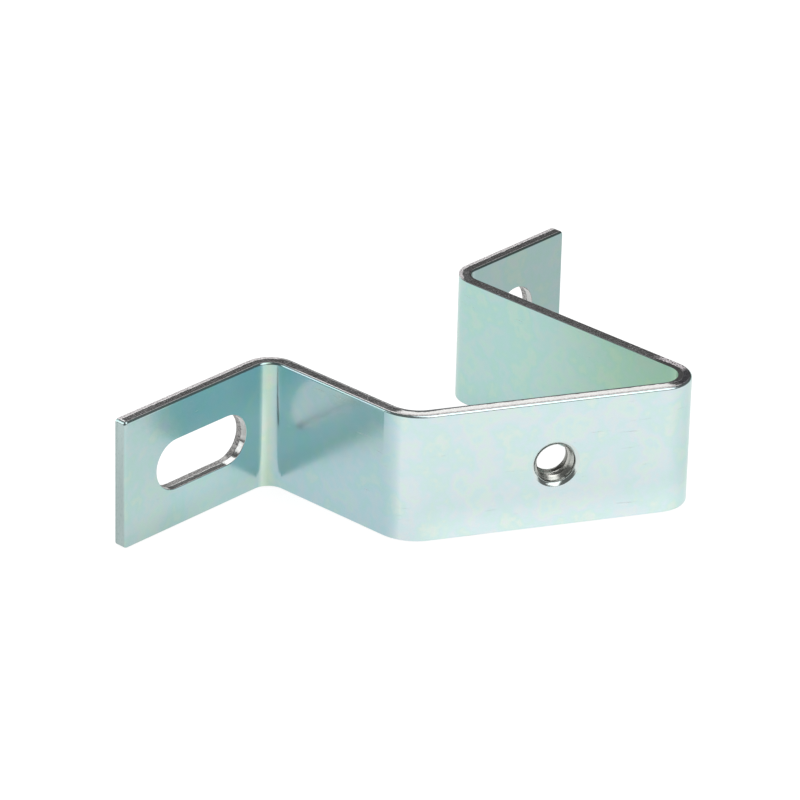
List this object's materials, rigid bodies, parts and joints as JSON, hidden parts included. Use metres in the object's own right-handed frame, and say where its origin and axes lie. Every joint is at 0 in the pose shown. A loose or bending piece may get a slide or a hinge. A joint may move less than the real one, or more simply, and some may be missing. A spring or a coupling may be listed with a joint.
{
  "type": "stamped metal bracket",
  "caption": "Strip-steel bracket folded into a slanted hat shape: coplanar feet with fixing holes, and a sloping crown with a tapped collar that holds a rail at an angle.",
  "frame": {"origin": "middle of the outline's length and depth, on the long edge that the strip stands on", "axes": "+X along the mounting plane from the slotted foot to the foot with the round hole, +Y out of the backs of the feet towards what they are screwed to, +Z across the strip's width"},
  "size_m": [0.0926, 0.0488, 0.02],
  "materials": {
    "zinc_plated_steel": "smooth zinc plating, blue passivated, semi-gloss"
  },
  "bodies": {
    "root": {"bracket": "zinc_plated_steel"}
  },
  "joints": []
}
